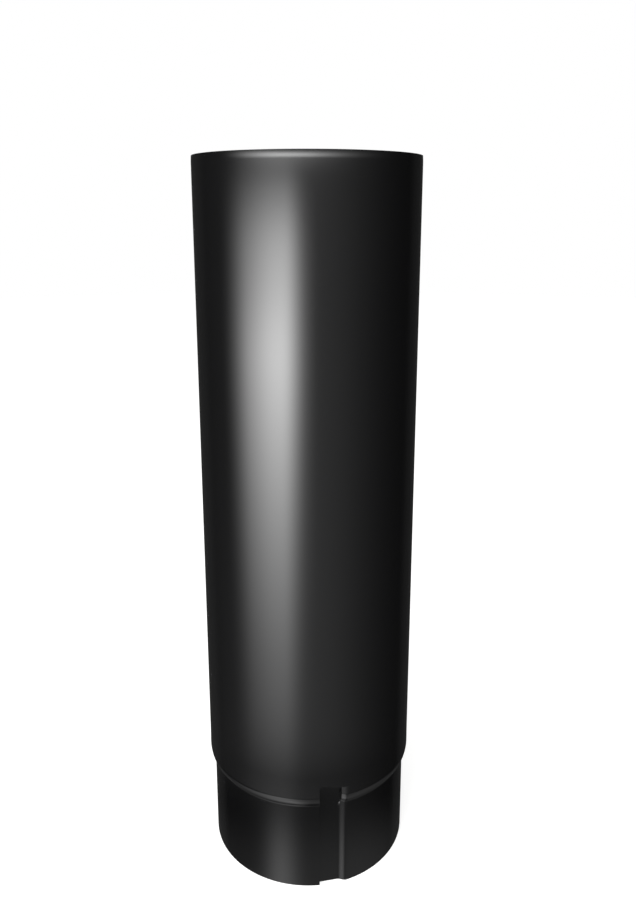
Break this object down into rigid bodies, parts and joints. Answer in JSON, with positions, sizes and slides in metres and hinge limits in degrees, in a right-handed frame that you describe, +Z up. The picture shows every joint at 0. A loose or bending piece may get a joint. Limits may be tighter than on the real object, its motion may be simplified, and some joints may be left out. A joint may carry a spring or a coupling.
{
  "type": "downpipe",
  "caption": "Short round rainwater downpipe in black coated steel sheet, with a plain socket end and a swaged spigot end that has a pressed lengthwise groove.",
  "frame": {"origin": "centre of the spigot's free edge, at the bottom of the pipe as it stands", "axes": "+Z up the pipe from the spigot to the socket rim, -Y towards the middle of the pressed groove, +X across the groove towards its gentle wall"},
  "size_m": [0.0902, 0.0901, 0.3],
  "materials": {
    "coated_steel": "semi-gloss black coil coating, inside and out"
  },
  "bodies": {
    "root": {"downpipe": "coated_steel"}
  },
  "joints": []
}
